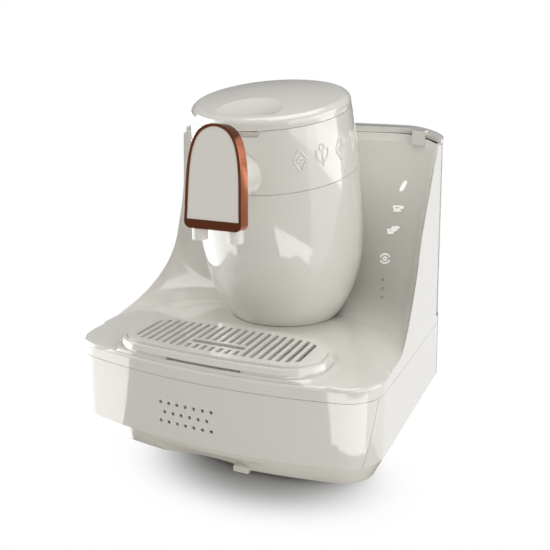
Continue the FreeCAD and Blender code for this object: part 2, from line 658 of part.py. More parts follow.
def make_sensor():
    probe = rod(2.0, (0, POT_R - 3.5, SENSOR_H), (0, 1, 0), 9)
    return lean(probe.fuse(rod(4.2, (0, POT_R + 0.6, SENSOR_H), (0, 1, 0), 5)))


def make_valve_block():
    block = box(-9, 9, -37, -3, 203.6, 222).cut(pot_envelope(0.0))
    block = block.cut(rod(VALVE_BORE, (0, OUTLET_Y, VALVE_Z), (0, 0, 1), 12))
    block = block.cut(rod(VALVE_BORE, (0, -40, VALVE_Z), (0, 1, 0), 40 + OUTLET_Y))
    block = block.cut(Part.makeSphere(VALVE_BORE, V(0, OUTLET_Y, VALVE_Z)))
    block = block.cut(rod(PLUNGER_R + GAP, (0, VALVE_Y, 200), (0, 0, 1), 17.6))
    return max(block.Solids, key=lambda q: q.Volume)


def make_plunger():
    stem = rod(PLUNGER_R, (0, VALVE_Y, 186), (0, 0, 1), 31)
    return stem


def make_coil():
    coil = rod(11.0, (0, VALVE_Y, 176), (0, 0, 1), 27.6)
    coil = coil.fuse(box(-8, 8, VALVE_Y - 8, VALVE_Y + 8, 173, 177))
    return coil.cut(rod(PLUNGER_R + GAP, (0, VALVE_Y, 178.6), (0, 0, 1), 40))


def make_transfer_tube():
    """Carries the coffee through the neck and splits it over both nozzles."""
    z = VALVE_Z
    tube = pipe(((0, -37.0, z), (0, -88.0, z)), 3.4, VALVE_BORE)
    header = box(-NOZZLE_X - 3.2, NOZZLE_X + 3.2, -94.4, -87.6, 203.4, z + 3.6)
    header = header.fuse(tube)
    header = header.cut(rod(VALVE_BORE, (0, -37, z), (0, -1, 0), 55))
    header = header.cut(rod(2.2, (-NOZZLE_X - 1.2, -91.0, 208), (1, 0, 0), 2 * NOZZLE_X + 2.4))
    header = header.cut(rod(2.2, (0, -91.0, 208), (0, 0, 1), 5))
    for x in (-NOZZLE_X, NOZZLE_X):
        header = header.fuse(rod(NOZZLE_BORE_R - 0.02, (x, NOZZLE_Y, 198.0), (0, 0, 1), 6))
    for x in (-NOZZLE_X, NOZZLE_X):
        header = header.cut(rod(2.0, (x, NOZZLE_Y, 197.0), (0, 0, 1), 11))
    return max(header.Solids, key=lambda q: q.Volume)


def make_pump():
    body = rod(17.0, (-74, PUMP_Y, PUMP_Z), (1, 0, 0), 52)
    body = body.fuse(rod(9.0, (-84, PUMP_Y, PUMP_Z), (1, 0, 0), 72))
    body = body.fuse(rod(3.2, (-12, PUMP_Y, PUMP_Z), (1, 0, 0), 9))
    body = body.fuse(rod(3.2, (-92, PUMP_Y, PUMP_Z), (1, 0, 0), 9))
    return body.cut(rod(1.6, (-100, PUMP_Y, PUMP_Z), (1, 0, 0), 110))


def make_pump_mounts():
    blocks = []
    for x in (-70, -34):
        block = box(x, x + 8, PUMP_Y - 14, PUMP_Y + 14, FOOT_H + WALL_T, PUMP_Z - 8)
        blocks.append(block.cut(rod(17.0, (-80, PUMP_Y, PUMP_Z), (1, 0, 0), 70)))
    return Part.makeCompound(blocks)


def make_supply_hose():
    return pipe(((SOCKET_X, SOCKET_Y, 56), (SOCKET_X, SOCKET_Y, 50), (SOCKET_X, 96, 50), (-98, 96, 50),
                 (-98, PUMP_Y, PUMP_Z), (-92, PUMP_Y, PUMP_Z)), 5.0, 3.22)


def make_feed_hose():
    hose = pipe(((-3, PUMP_Y, PUMP_Z), (6, PUMP_Y, PUMP_Z), (6, HOSE_Y, PUMP_Z), (0, HOSE_Y, PUMP_Z + 8),
                 (0, HOSE_Y, HOSE_TOP), (0, 59.8, HOSE_TOP)), HOSE_R, HOSE_BORE)
    sleeve = rod(5.0, (-11, PUMP_Y, PUMP_Z), (1, 0, 0), 9).cut(rod(3.22, (-12, PUMP_Y, PUMP_Z), (1, 0, 0), 9))
    return hose.fuse(sleeve)


def make_board():
    board = box(14, 106, -64, 32, BOARD_Z, BOARD_Z + 1.6)
    board = board.fuse(box(66, 96, -48, -20, BOARD_Z + 1, BOARD_Z + 24))
    board = board.fuse(box(24, 44, -50, -34, BOARD_Z + 1, BOARD_Z + 17))
    board = board.fuse(rod(8, (36, -8, BOARD_Z + 1), (0, 0, 1), 22))
    board = board.fuse(box(60, 76, 0, 16, BOARD_Z + 1, BOARD_Z + 4))
    board = board.fuse(box(84, 100, 4, 12, BOARD_Z + 1, BOARD_Z + 12))
    return board


def make_touch_board():
    board = box(-15, 15, -0.8, 0.8, 138, 222)
    for z in (150, 170, 190, 210):
        board = board.fuse(rod(4.5, (0, -0.6, z), (0, -1, 0), 1.4))
    board.rotate(V(0, 0, 0), V(0, 0, 1), -24)
    board.translate(V(104.8, 81.2, 0))
    return board


def make_speaker():
    disc = rod(20.3, (SPEAKER_X, -114.6, SPEAKER_Z), (0, 1, 0), 5.0)
    return disc.fuse(rod(11.0, (SPEAKER_X, -110, SPEAKER_Z), (0, 1, 0), 9.0))


def make_gland():
    body = rod(6.98, (GLAND_X, 110, GLAND_Z), (0, 1, 0), 14.6)
    flange = rod(10.5, (GLAND_X, 119, GLAND_Z), (0, 1, 0), 6.0).cut(drafted(0.0, PLINTH_TOP, SEAM_Z))
    return body.fuse(flange).cut(rod(3.6, (GLAND_X, 100, GLAND_Z), (0, 1, 0), 40))


def make_socket():
    z = TANK_FLOOR - 3.5
    cup = rod(11.4, (SOCKET_X, SOCKET_Y, 61), (0, 0, 1), z - 61)
    cup = cup.cut(rod(9.25, (SOCKET_X, SOCKET_Y, 65), (0, 0, 1), 20))
    cup = cup.fuse(rod(2.0, (SOCKET_X, SOCKET_Y, 60), (0, 0, 1), TANK_FLOOR - 5.3 - 60))
    cup = cup.fuse(rod(3.2, (SOCKET_X, SOCKET_Y, 50.4), (0, 0, 1), 12))
    return cup.cut(rod(1.2, (SOCKET_X + 5, SOCKET_Y, 60), (0, 0, 1), 8)).cut(
        rod(1.8, (SOCKET_X, SOCKET_Y, 50), (0, 0, 1), 12))


def make_screws():
    return Part.makeCompound([
        rod(3.8, (x, y, FOOT_H + 0.6), (0, 0, 1), 2.8).fuse(rod(1.48, (x, y, FOOT_H + 3), (0, 0, 1), 16))
        for x, y in SCREWS])


def main():
    os.makedirs("parts", exist_ok=True)
    out(make_base(), "base_plate")
    out(make_base_shell(), "base_shell")
    feet = [rod(9.0, (x, y, 0), (0, 0, 1), FOOT_H).fuse(rod(6.0, (x, y, 0), (0, 0, 1), FOOT_H + 1.1))
            for x, y in FEET]
    out(Part.makeCompound(feet), "feet")
    out(make_shield(), "shield")
    out(make_tray_seat(), "tray_seat")
    out(make_column_shell(), "column_shell")
    out(make_column_ring(), "column_ring")
    out(make_lid(), "lid_cover")
    out(make_lid_liner(), "lid_liner")
    out(lean(rod(PIN_R, (-13, LID_HINGE_R, LID_HINGE_H), (1, 0, 0), 26)), "lid_pin")
    out(make_pot(), "brew_chamber")
    out(make_spout(), "spout_housing")
    out(make_trim(), "spout_trim")
    out(make_panel(), "spout_panel")
    out(make_nozzle(-NOZZLE_X), "nozzle_left")
    out(make_nozzle(NOZZLE_X), "nozzle_right")
    out(make_tray(), "drip_tray")
    out(make_grille(), "drip_grille")
    out(make_tank(), "water_tank")
    out(make_valve_stem(), "tank_valve_stem")
    out(make_tank_lid(), "tank_lid")
    out(make_gasket(), "chamber_gasket")
    out(make_carrier(), "chamber_carrier")
    out(make_heater(), "heater_plate")
    out(make_sensor(), "chamber_sensor")
    out(make_valve_block(), "valve_block")
    out(make_plunger(), "valve_plunger")
    out(make_coil(), "valve_coil")
    out(make_transfer_tube(), "spout_header")
    out(make_pump(), "pump")
    out(make_pump_mounts(), "pump_mounts")
    out(make_supply_hose(), "supply_hose")
    out(make_feed_hose(), "feed_hose")
    out(make_board(), "control_board")
    out(make_touch_board(), "touch_board")
    out(make_speaker(), "speaker")
    out(make_gland(), "inlet_gland")
    out(make_socket(), "tank_socket")
    out(make_screws(), "base_screws")


main()
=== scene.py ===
"""Looks of the electric turkish coffee maker: finishes, raised band, key symbols, collar and stage."""
import math

import bpy
import numpy as np
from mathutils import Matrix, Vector
from mathutils.bvhtree import BVHTree


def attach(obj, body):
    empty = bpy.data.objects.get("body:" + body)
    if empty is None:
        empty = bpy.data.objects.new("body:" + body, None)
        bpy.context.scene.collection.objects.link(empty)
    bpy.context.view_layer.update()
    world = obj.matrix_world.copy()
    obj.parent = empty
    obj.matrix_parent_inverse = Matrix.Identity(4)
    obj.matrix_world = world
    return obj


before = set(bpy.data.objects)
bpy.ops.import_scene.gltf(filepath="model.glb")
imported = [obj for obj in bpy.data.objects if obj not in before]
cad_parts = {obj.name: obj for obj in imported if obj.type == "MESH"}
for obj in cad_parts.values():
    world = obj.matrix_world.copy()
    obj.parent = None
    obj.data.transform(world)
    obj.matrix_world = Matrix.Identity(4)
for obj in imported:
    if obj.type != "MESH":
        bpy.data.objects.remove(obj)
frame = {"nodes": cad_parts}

bl_info = {
    "name": "Turkish Coffee Maker Looks",
    "version": (1, 0, 0),
    "blender": (4, 5, 0),
    "location": "View3D > Sidebar > Coffee Maker",
    "description": "Adds finishes and computed trim to the packed coffee maker",
    "category": "Object",
}

# Barrel of the brew column: its lean, the middle of the lid seam, and its radius at distances
# below that seam
LEAN = math.radians(11.8)
BARREL_Y = 0.0096
BARREL_Z = 0.2748
BARREL_S = np.array([0.0, 25.0, 55.0, 85.0, 115.0, 145.0, 172.0, 196.0]) / 1000
BARREL_R = np.array([68.4, 70.9, 72.8, 73.9, 74.2, 71.8, 63.5, 50.0]) / 1000
BARREL_DEGREE = 7

# Raised strokes: points across the half circle, and how deep their feet sink into the surface
BEAD_POINTS = 7
BEAD_SINK = 0.00025

# Band of motifs: angles left free at the spout in front and at the hinge behind
SPOUT_GAP = math.radians(34)
HINGE_GAP = math.radians(14)

# Touch keys: centres as X and Z on the wing, their Y, where they are printed from, and the
# lights below them
KEY_SPOTS = ((0.1045, 0.2065), (0.1000, 0.1858), (0.0962, 0.1653), (0.0905, 0.1385))
KEY_Y = 0.062
KEY_RISE = 0.0008
LIGHT_X = 0.0905
LIGHT_Y = 0.058
LIGHT_Z = (0.1195, 0.1110, 0.1025)
LIGHT_R = 0.0008
LIGHT_LINE = 0.0015
LIGHT_RISE = 0.0006
KEY_EYE = (0.277, -0.597, 0.319)
KEY_TURN = 0.4238
PRINT_GAP = 0.00002
PRINT_FLATNESS = 0.1

# Plan of the drip tray: half width, front, back, radius of the round ends and of the bows
TRAY_HALF_W = 0.088
TRAY_FRONT = -0.1175
TRAY_BACK = -0.047
TRAY_END_R = 0.030
TRAY_BOW_R = 0.600

# Collar round the tray: its gap to the rim, the deck's height, and the bow of the front that
# it stays behind
COLLAR_GAP = 0.0033
COLLAR_ROWS = 11
DECK_Z = 0.0838
FRONT_Y = -0.1254
FRONT_BOW_R = 0.505

# Camera: where it stands, and its turn from straight down and about the vertical
CAMERA_SPOT = (0.27719, -0.59713, 0.31942)
CAMERA_TILT = math.radians(90 - 16.18)
CAMERA_TURN = math.radians(24.28)
CAMERA_LENS = 50.0
PICTURE_SIDE = 1100

# Floor: middle and spread of the painted soft shadow, a grey lit patch in the white floor, and the cards
# that only gloss mirrors
PAINTED_SHADOW_SPOT = (0.04, -0.1)
PAINTED_SHADOW_SPREAD = (0.085, 0.058)
CARD_GLOW = 3.4
GAP_GLOW = 0.15
CARD_INNER_R = 0.226
CARD_OUTER_R = 0.35
RIGHT_CARD_X = 0.111
RIGHT_CARD_FAR_Y = 0.0
RIGHT_CARD_NEAR_Y = -0.12
RIGHT_CARD_DIP = 0.65
BESIDE_CARD_SLOPE = 0.364
BESIDE_CARD_X = 0.145
BESIDE_CARD_SHARE = 0.26
LEFT_CARD_SLOPE = 0.905
LEFT_CARD_EDGE = -0.042
FLOOR_HALF = 4.0
FLOOR_ROWS = 9

# Surround: its strength where it lights, where gloss mirrors it and where the camera sees it
WORLD_GLOW = 0.36
WORLD_IN_GLOSS = 0.2
WORLD_IN_VIEW = 1.0

# Lights: name, spot, point they are turned to, size, power, and whether only gloss shows them
LIGHTS = (
    ("top", (0.1, 0.1, 1.3), (0, 0, 0.1), (1.0, 0.8), 6.6, False),
    ("right", (0.95, -0.42, 0.45), (0, 0, 0.15), (0.8, 0.9), 4.2, False),
    ("left", (-1.0, -0.4, 0.5), (0, 0, 0.15), (0.7, 0.9), 3.6, False),
    ("shine_right", (1.0, 0.25, 0.3), (0, 0, 0.2), (0.7, 1.1), 7.0, True),
    ("shine_left", (-1.0, -0.15, 0.3), (0, 0, 0.2), (0.9, 1.1), 10.0, True),
)


def linear(rgb):
    """Linear colour of an sRGB tone: each part c of 255 becomes ((c + 0.055) / 1.055) to the power 2.4."""
    return tuple(((c / 255 + 0.055) / 1.055) ** 2.4 for c in rgb) + (1.0,)


def material(name, base, rough=0.15, metal=0.0, grain=0.0, grain_scale=600.0, clear=0.0,
             alpha=1.0, glow=0.0, tint=0.0):
    """Procedural finish: noise moves its roughness by up to grain and its linear colour by up to tint."""
    mat = bpy.data.materials.new(name)
    mat.use_nodes = True
    tree = mat.node_tree
    shader = tree.nodes["Principled BSDF"]
    base = tuple(base)
    shader.inputs["Base Color"].default_value = base
    shader.inputs["Roughness"].default_value = rough
    shader.inputs["Metallic"].default_value = metal
    shader.inputs["Coat Weight"].default_value = clear
    shader.inputs["Coat Roughness"].default_value = 0.04
    shader.inputs["Alpha"].default_value = alpha
    # glow gives off the base colour as light: a painted glow on a part that is no lamp.
    shader.inputs["Emission Color"].default_value = base
    shader.inputs["Emission Strength"].default_value = glow
    coords = tree.nodes.new("ShaderNodeTexCoord")
    noise = tree.nodes.new("ShaderNodeTexNoise")
    noise.inputs["Scale"].default_value = grain_scale
    noise.inputs["Detail"].default_value = 3.0
    tree.links.new(coords.outputs["Object"], noise.inputs["Vector"])
    if grain:
        spread = tree.nodes.new("ShaderNodeMapRange")
        spread.inputs["To Min"].default_value = max(0.0, rough - grain)
        spread.inputs["To Max"].default_value = rough + grain
        tree.links.new(noise.outputs["Fac"], spread.inputs["Value"])
        tree.links.new(spread.outputs["Result"], shader.inputs["Roughness"])
    if tint:
        mix = tree.nodes.new("ShaderNodeMix")
        mix.data_type = "RGBA"
        mix.inputs["A"].default_value = tuple(c * (1 - tint) for c in base[:3]) + (1.0,)
        mix.inputs["B"].default_value = tuple(min(1.0, c * (1 + tint)) for c in base[:3]) + (1.0,)
        tree.links.new(noise.outputs["Fac"], mix.inputs["Factor"])
        tree.links.new(mix.outputs["Result"], shader.inputs["Base Color"])
    return mat


def brushed(name, base, rough=0.28, stretch=(4.0, 4.0, 900.0)):
    """Brushed metal: noise squeezed along one axis drives a fine bump."""
    mat = material(name, base, rough, 1.0)
    tree = mat.node_tree
    shader = tree.nodes["Principled BSDF"]
    coords = tree.nodes["Texture Coordinate"]
    mapping = tree.nodes.new("ShaderNodeMapping")
    mapping.inputs["Scale"].default_value = stretch
    noise = tree.nodes.new("ShaderNodeTexNoise")
    noise.inputs["Scale"].default_value = 6.0
    bump = tree.nodes.new("ShaderNodeBump")
    bump.inputs["Strength"].default_value = 0.12
    bump.inputs["Distance"].default_value = 0.0002
    tree.links.new(coords.outputs["Object"], mapping.inputs["Vector"])
    tree.links.new(mapping.outputs["Vector"], noise.inputs["Vector"])
    tree.links.new(noise.outputs["Fac"], bump.inputs["Height"])
    tree.links.new(bump.outputs["Normal"], shader.inputs["Normal"])
    return mat


def surface(name, rows, mat, closed_u=False, closed_v=False, smooth=True):
    """Mesh through a grid of points, an array (rows, columns, 3) whose neighbours share a quad."""
    grid = np.asarray(rows, float)
    n, m = grid.shape[:2]
    a = np.arange(n if closed_u else n - 1)
    b = np.arange(m if closed_v else m - 1)
    i, j = np.meshgrid(a, b, indexing="ij")
    i2, j2 = (i + 1) % n, (j + 1) % m
    quads = np.stack([i * m + j, i * m + j2, i2 * m + j2, i2 * m + j], -1).reshape(-1, 4)
    mesh = bpy.data.meshes.new(name)
    mesh.from_pydata(grid.reshape(-1, 3).tolist(), [], quads.tolist())
    mesh.polygons.foreach_set("use_smooth", [smooth] * len(mesh.polygons))
    mesh.materials.append(mat)
    mesh.update()
    obj = bpy.data.objects.new(name, mesh)
    bpy.context.scene.collection.objects.link(obj)
    return obj


def joined(name, grids, mat):
    """One mesh from several closed tubes, each a grid of rings with capped ends."""
    verts, faces = [], []
    for grid in grids:
        n, m = grid.shape[:2]
        start = len(verts)
        verts.extend(grid.reshape(-1, 3).tolist())
        for i in range(n - 1):
            for j in range(m):
                j2 = (j + 1) % m
                faces.append((start + i * m + j, start + i * m + j2, start + (i + 1) * m + j2,
                              start + (i + 1) * m + j))
        faces.append(tuple(start + j for j in reversed(range(m))))
        faces.append(tuple(start + (n - 1) * m + j for j in range(m)))
    mesh = bpy.data.meshes.new(name)
    mesh.from_pydata(verts, [], faces)
    mesh.polygons.foreach_set("use_smooth", [True] * len(mesh.polygons))
    mesh.materials.append(mat)
    mesh.update()
    obj = bpy.data.objects.new(name, mesh)
    bpy.context.scene.collection.objects.link(obj)
    return obj


def barrel_radius(s):
    """Radius of the barrel s metres below the lid seam: the polynomial through its listed radii."""
    return np.polyval(np.polyfit(BARREL_S, BARREL_R, BARREL_DEGREE), s)


def on_barrel(angle, s, lift):
    """Point on the leaning barrel: angle 0 faces the user and grows to the user's right."""
    r = barrel_radius(s) + lift
    x, y, z = r * np.sin(angle), -r * np.cos(angle), -np.asarray(s, float)
    return np.stack([x, BARREL_Y + y * math.cos(LEAN) - z * math.sin(LEAN),
                     BARREL_Z + y * math.sin(LEAN) + z * math.cos(LEAN)], -1)


def ridge(path, width, height, at):
    """Raised bead along a flat path, whose section is half an oval, width wide and height high.

    The section at turn k lies cos(k) half widths to the side and sin(k) heights up, and both shrink to a
    quarter at the two ends of the path.
    """
    path = np.asarray(path, float)
    step = np.gradient(path, axis=0)
    step /= np.linalg.norm(step, axis=1)[:, None] + 1e-12
    side = np.stack([-step[:, 1], step[:, 0]], -1)
    ends = np.linspace(0, 1, len(path))
    taper = np.clip(np.minimum(ends, 1 - ends) * 8 + 0.25, 0, 1)
    rings = []
    for k in np.linspace(0, math.pi, BEAD_POINTS):
        offset = side * (math.cos(k) * width / 2 * taper)[:, None]
        rings.append(at(path + offset, math.sin(k) * height * taper - BEAD_SINK))
    return np.stack(rings, 1)


def colour_setting(name, description, rgb):
    """Colour property whose default is an sRGB tone."""
    return bpy.props.FloatVectorProperty(
        name=name, description=description, default=linear(rgb), size=4, min=0.0, max=1.0, subtype="COLOR",
    )


class FinishSettings(bpy.types.PropertyGroup):
    """Colours of the finishes that show from outside."""

    shell: colour_setting("Shell", "Colour of the glossy plastic shells", (229, 227, 221))
    plinth: colour_setting("Plinth", "Colour of the base plate", (232, 229, 220))
    panel: colour_setting("Spout panel", "Colour of the plate on the spout's front", (238, 236, 229))
    frame: colour_setting("Spout frame", "Colour of the metal frame round the spout", (196, 116, 82))
    tank: colour_setting("Tank", "Colour of the smoked water tank", (26, 26, 30))
    symbols: colour_setting("Symbols", "Colour of the printed key symbols", (250, 250, 248))


class BandSettings(bpy.types.PropertyGroup):
    """Raised band on the column ring."""

    middle: bpy.props.FloatProperty(
        name="Middle below seam",
        description="Distance of the band below the lid seam, along the barrel",
        default=0.0262, unit="LENGTH",
    )
    size: bpy.props.FloatProperty(
        name="Motif height",
        description="Height of one lozenge or sprig",
        default=0.0190, unit="LENGTH",
    )
    count: bpy.props.IntProperty(
        name="Motifs",
        description="Motifs in a full turn, before those at the front and rear are left out",
        default=22,
    )
    width: bpy.props.FloatProperty(
        name="Bead width",
        description="Width of a raised stroke",
        default=0.0019, unit="LENGTH",
    )
    height: bpy.props.FloatProperty(
        name="Bead height",
        description="Height of a raised stroke above the ring",
        default=0.0009, unit="LENGTH",
    )


class KeySettings(bpy.types.PropertyGroup):
    """Printed symbols of the touch keys."""

    line: bpy.props.FloatProperty(
        name="Line width",
        description="Width of a printed stroke",
        default=0.0013, unit="LENGTH",
    )
    size: bpy.props.FloatProperty(
        name="Symbol size",
        description="Height of one key symbol",
        default=0.0105, unit="LENGTH",
    )


class CollarSettings(bpy.types.PropertyGroup):
    """Stepped collar around the drip tray."""

    reach: bpy.props.FloatProperty(
        name="Reach",
        description="Distance that the collar reaches outside the tray rim",
        default=0.0062, unit="LENGTH",
    )
    height: bpy.props.FloatProperty(
        name="Height",
        description="Height of the collar above the deck",
        default=0.0030, unit="LENGTH",
    )


class KTC_OT_finishes(bpy.types.Operator):
    """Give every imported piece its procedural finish"""

    bl_idname = "ktc.finishes"
    bl_label = "Finishes"

    def execute(self, context):
        s = context.scene.ktc_finish
        shell = material("shell gloss", s.shell, 0.09, grain=0.015, clear=0.6, tint=0.01)
        plinth = material("plinth gloss", s.plinth, 0.2, grain=0.02, clear=0.3, tint=0.01)
        panel = material("panel gloss", s.panel, 0.06, clear=1.0, tint=0.005)
        copper = material("copper", s.frame, 0.11, 1.0, grain=0.04, grain_scale=1500.0)
        smoked = material("smoked", s.tank, 0.08, alpha=0.82, clear=0.5)
        rubber = material("rubber", linear((22, 22, 22)), 0.8, grain=0.1)
        silicone = material("silicone", linear((225, 222, 214)), 0.5, tint=0.03)
        steel = brushed("steel", linear((190, 190, 190)))
        heater = brushed("heater", linear((170, 170, 172)), 0.45)
        white = material("white plastic", linear((238, 237, 233)), 0.3, grain=0.05)
        dark = material("dark plastic", linear((34, 34, 36)), 0.45, grain=0.08)
        coil = material("coil", linear((58, 58, 62)), 0.35, 0.6, grain=0.05)
        board = material("board", linear((28, 84, 50)), 0.4, tint=0.15, grain_scale=300.0)
        finishes = (
            (plinth, ["base_plate"]),
            (shell, ["base_shell", "shield", "tray_seat", "column_shell", "column_ring", "lid_cover",
                     "spout_housing", "drip_tray", "drip_grille", "tank_lid"]),
            (panel, ["spout_panel"]),
            (copper, ["spout_trim"]),
            (smoked, ["water_tank"]),
            (rubber, ["feet", "pump_mounts"]),
            (silicone, ["chamber_gasket", "supply_hose", "feed_hose", "spout_header"]),
            (steel, ["lid_pin", "brew_chamber", "chamber_sensor", "valve_plunger", "base_screws"]),
            (heater, ["heater_plate"]),
            (white, ["lid_liner", "nozzle_left", "nozzle_right", "tank_valve_stem", "chamber_carrier",
                     "valve_block", "tank_socket"]),
            (dark, ["pump", "speaker", "inlet_gland"]),
            (coil, ["valve_coil"]),
            (board, ["control_board", "touch_board"]),
        )
        bare = set(frame["nodes"]) - {name for _, names in finishes for name in names}
        if bare:
            raise RuntimeError(f"packed pieces without a finish: {sorted(bare)}")
        for mat, names in finishes:
            for name in names:
                materials = frame["nodes"][name].data.materials
                materials.clear()
                materials.append(mat)
        return {"FINISHED"}


def band_paths(size):
    """Strokes of the two motifs: a lozenge with a bead in it, and a sprig of a stem and petals.

    Each petal is a line from its foot to its tip, bowed to one side by a sine of the distance along it.
    """
    t = np.linspace(0, 1, 25)
    h = size / 2
    corner = [(0, h), (h * 0.62, 0), (0, -h), (-h * 0.62, 0), (0, h)]
    lozenge = []
    for a, b in zip(corner[:-1], corner[1:]):
        lozenge.append(np.stack([a[0] + (b[0] - a[0]) * t, a[1] + (b[1] - a[1]) * t], -1))
    a = np.linspace(0, 2 * math.pi, 17)
    dot = np.stack([np.cos(a), np.sin(a)], -1) * h * 0.2
    sprig = [np.stack([np.zeros_like(t), -h + 1.1 * size * t * 0.6], -1)]
    for side in (-1, 1):
        bow = np.sin(t * math.pi)
        sprig.append(np.stack([side * (0.55 * h * t + 0.26 * h * bow), -h * 0.7 + h * 1.3 * t], -1))
    bow = np.sin(t * math.pi) * h * 0.24
    tip = -h + 0.66 * size
    for side in (-1, 1):
        sprig.append(np.stack([side * bow, tip + (h - tip) * t], -1))
    return [lozenge + [dot], sprig]


class KTC_OT_band(bpy.types.Operator):
    """Raise the band of motifs round the column ring

    A flat motif is wrapped on the barrel: its X over the radius is the angle, and its Y runs up the side.
    """

    bl_idname = "ktc.band"
    bl_label = "Raised band"

    def execute(self, context):
        s = context.scene.ktc_band
        motifs = band_paths(s.size)
        grids = []
        for k in range(s.count):
            middle = (k + 0.5) * 2 * math.pi / s.count
            if min(middle, 2 * math.pi - middle) < SPOUT_GAP or abs(middle - math.pi) < HINGE_GAP:
                continue
            for stroke in motifs[k % 2]:
                def at(points, lift, middle=middle):
                    r = barrel_radius(s.middle)
                    return on_barrel(middle + points[:, 0] / r, s.middle - points[:, 1], lift)
                grids.append(ridge(stroke, s.width, s.height, at))
        obj = joined("band_motifs", grids, bpy.data.materials["shell gloss"])
        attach(obj, "body")
        return {"FINISHED"}


def symbol_paths():
    """Unit strokes of the four key symbols: leaf, cup, two cups and rinse.

    Leaf edges and cup handles are lines bowed by a sine. A cup's bowl hangs below its rim by that sine to
    the power 0.7. The rinse sign is two arcs of a circle round a smaller circle.
    """
    t = np.linspace(0, 1, 21)
    a = t * 2 * math.pi

    def line(p, q):
        return np.stack([p[0] + (q[0] - p[0]) * t, p[1] + (q[1] - p[1]) * t], -1)

    def cup(cx, cy, w):
        bowl = np.stack([cx - w + 2 * w * t, cy - 0.75 * w * np.sin(t * math.pi) ** 0.7], -1)
        handle = np.stack([cx + w + 0.32 * w * np.sin(t * math.pi), cy - 0.5 * w * t], -1)
        return [bowl, line((cx - w, cy), (cx + w, cy)), handle,
                line((cx - 0.9 * w, cy - 1.05 * w), (cx + 0.9 * w, cy - 1.05 * w))]

    leaf = [np.stack([-0.42 + 0.84 * t, -0.6 + 1.2 * t + side * 0.34 * np.sin(t * math.pi)], -1)
            for side in (-1, 1)]
    leaf.append(line((-0.42, -0.6), (0.3, 0.42)))
    rinse = [np.stack([0.62 * np.cos(u), 0.62 * np.sin(u)], -1)
             for u in (0.35 + a * 0.4, 0.35 + math.pi + a * 0.4)]
    rinse.append(np.stack([0.2 * np.cos(a), 0.2 * np.sin(a) - 0.02], -1))
    return [leaf, cup(0, 0.3, 0.55), cup(-0.2, 0.15, 0.45) + cup(0.32, 0.5, 0.4), rinse]


class KTC_OT_keys(bpy.types.Operator):
    """Print the touch-key symbols and status lights on the wing

    Each stroke is drawn flat and carried along straight lines of sight until it meets the wing.
    """

    bl_idname = "ktc.keys"
    bl_label = "Key symbols"

    def execute(self, context):
        s = context.scene.ktc_keys
        tree = BVHTree.FromObject(frame["nodes"]["shield"], context.evaluated_depsgraph_get())
        eye = Vector(KEY_EYE)
        grids = []

        def project(points, lift):
            out = []
            for p, up in zip(points, np.broadcast_to(lift, len(points))):
                direction = (Vector(p) - eye).normalized()
                hit, normal, _, _ = tree.ray_cast(eye, direction)
                if hit is None:
                    raise RuntimeError("a key symbol misses the wing")
                if normal.dot(direction) > 0:
                    normal = -normal
                out.append(hit + normal * (PRINT_GAP + up))
            return np.array(out)

        right = Vector((math.cos(KEY_TURN), math.sin(KEY_TURN), 0.0))

        def printed(centre):
            def at(points, lift):
                flat = [centre + right * float(u) + Vector((0, 0, float(v))) for u, v in points]
                return project(flat, np.maximum(0.0, lift) * PRINT_FLATNESS)
            return at

        for (x, z), strokes in zip(KEY_SPOTS, symbol_paths()):
            at = printed(Vector((x, KEY_Y, z)))
            for stroke in strokes:
                grids.append(ridge(stroke * s.size / 1.5, s.line, KEY_RISE, at))
        # The printed ink also gives off its own colour as light: a painted glow that keeps the symbols
        # brighter than their lighting makes them.
        ink = material("key ink painted glow", context.scene.ktc_finish.symbols, 0.4, tint=0.01, glow=0.45)
        obj = joined("key_symbols", grids, ink)
        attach(obj, "body")
        lights = []
        a = np.linspace(0, 2 * math.pi, 17)
        ring = np.stack([np.cos(a), np.sin(a)], -1) * LIGHT_R
        for z in LIGHT_Z:
            at = printed(Vector((LIGHT_X, LIGHT_Y, z)))
            lights.append(ridge(ring, LIGHT_LINE, LIGHT_RISE, at))
        lamp = material("status lens", linear((196, 190, 176)), 0.25, tint=0.02)
        obj = joined("status_lenses", lights, lamp)
        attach(obj, "body")
        return {"FINISHED"}


def tray_outline(off, count=220):
    """Plan of the drip tray moved outward by off: two shallow bows joined by round ends."""
    w, r, bow = TRAY_HALF_W, TRAY_END_R, TRAY_BOW_R
    cf, cb = TRAY_FRONT + bow, TRAY_BACK - bow
    reach = math.sqrt((bow - r) ** 2 - (w - r) ** 2)
    yf, yb = cf - reach, cb + reach
    half = math.asin((w - r) / (bow - r))
    pts = []

    def arc(cx, cy, radius, a0, a1, n):
        for a in np.linspace(a0, a1, n, endpoint=False):
            pts.append((cx + radius * math.cos(a), cy + radius * math.sin(a)))

    q = math.pi / 2
    n = count // 8
    arc(0, cf, bow + off, -q - half, -q + half, 2 * n)
    arc(w - r, yf, r + off, -q + half, 0, n)
    arc(w - r, yb, r + off, 0, q - half, n)
    arc(0, cb, bow + off, q - half, q + half, 2 * n)
    arc(-(w - r), yb, r + off, q + half, 2 * q, n)
    arc(-(w - r), yf, r + off, 2 * q, 3 * q - half, n)
    return np.array(pts)


class KTC_OT_collar(bpy.types.Operator):
    """Shape the rounded collar round the drip tray

    Its height grows with the sine, to the power 0.8, of a quarter turn times the share of the reach that
    is passed on the way in.
    """

    bl_idname = "ktc.collar"
    bl_label = "Tray collar"

    def execute(self, context):
        s = context.scene.ktc_collar
        rows = []
        for k in np.linspace(0, 1, COLLAR_ROWS):
            outline = tray_outline(COLLAR_GAP + s.reach * (1 - k))
            z = DECK_Z + s.height * math.sin(k * math.pi / 2) ** 0.8
            drop = np.sqrt(FRONT_BOW_R ** 2 - outline[:, 0] ** 2)
            limit = FRONT_Y + FRONT_BOW_R - drop + COLLAR_GAP
            outline[:, 1] = np.maximum(outline[:, 1], limit)
            rows.append(np.concatenate([outline, np.full((len(outline), 1), z)], 1))
        obj = surface("tray_collar", rows, bpy.data.materials["shell gloss"], closed_v=True)
        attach(obj, "body")
        return {"FINISHED"}


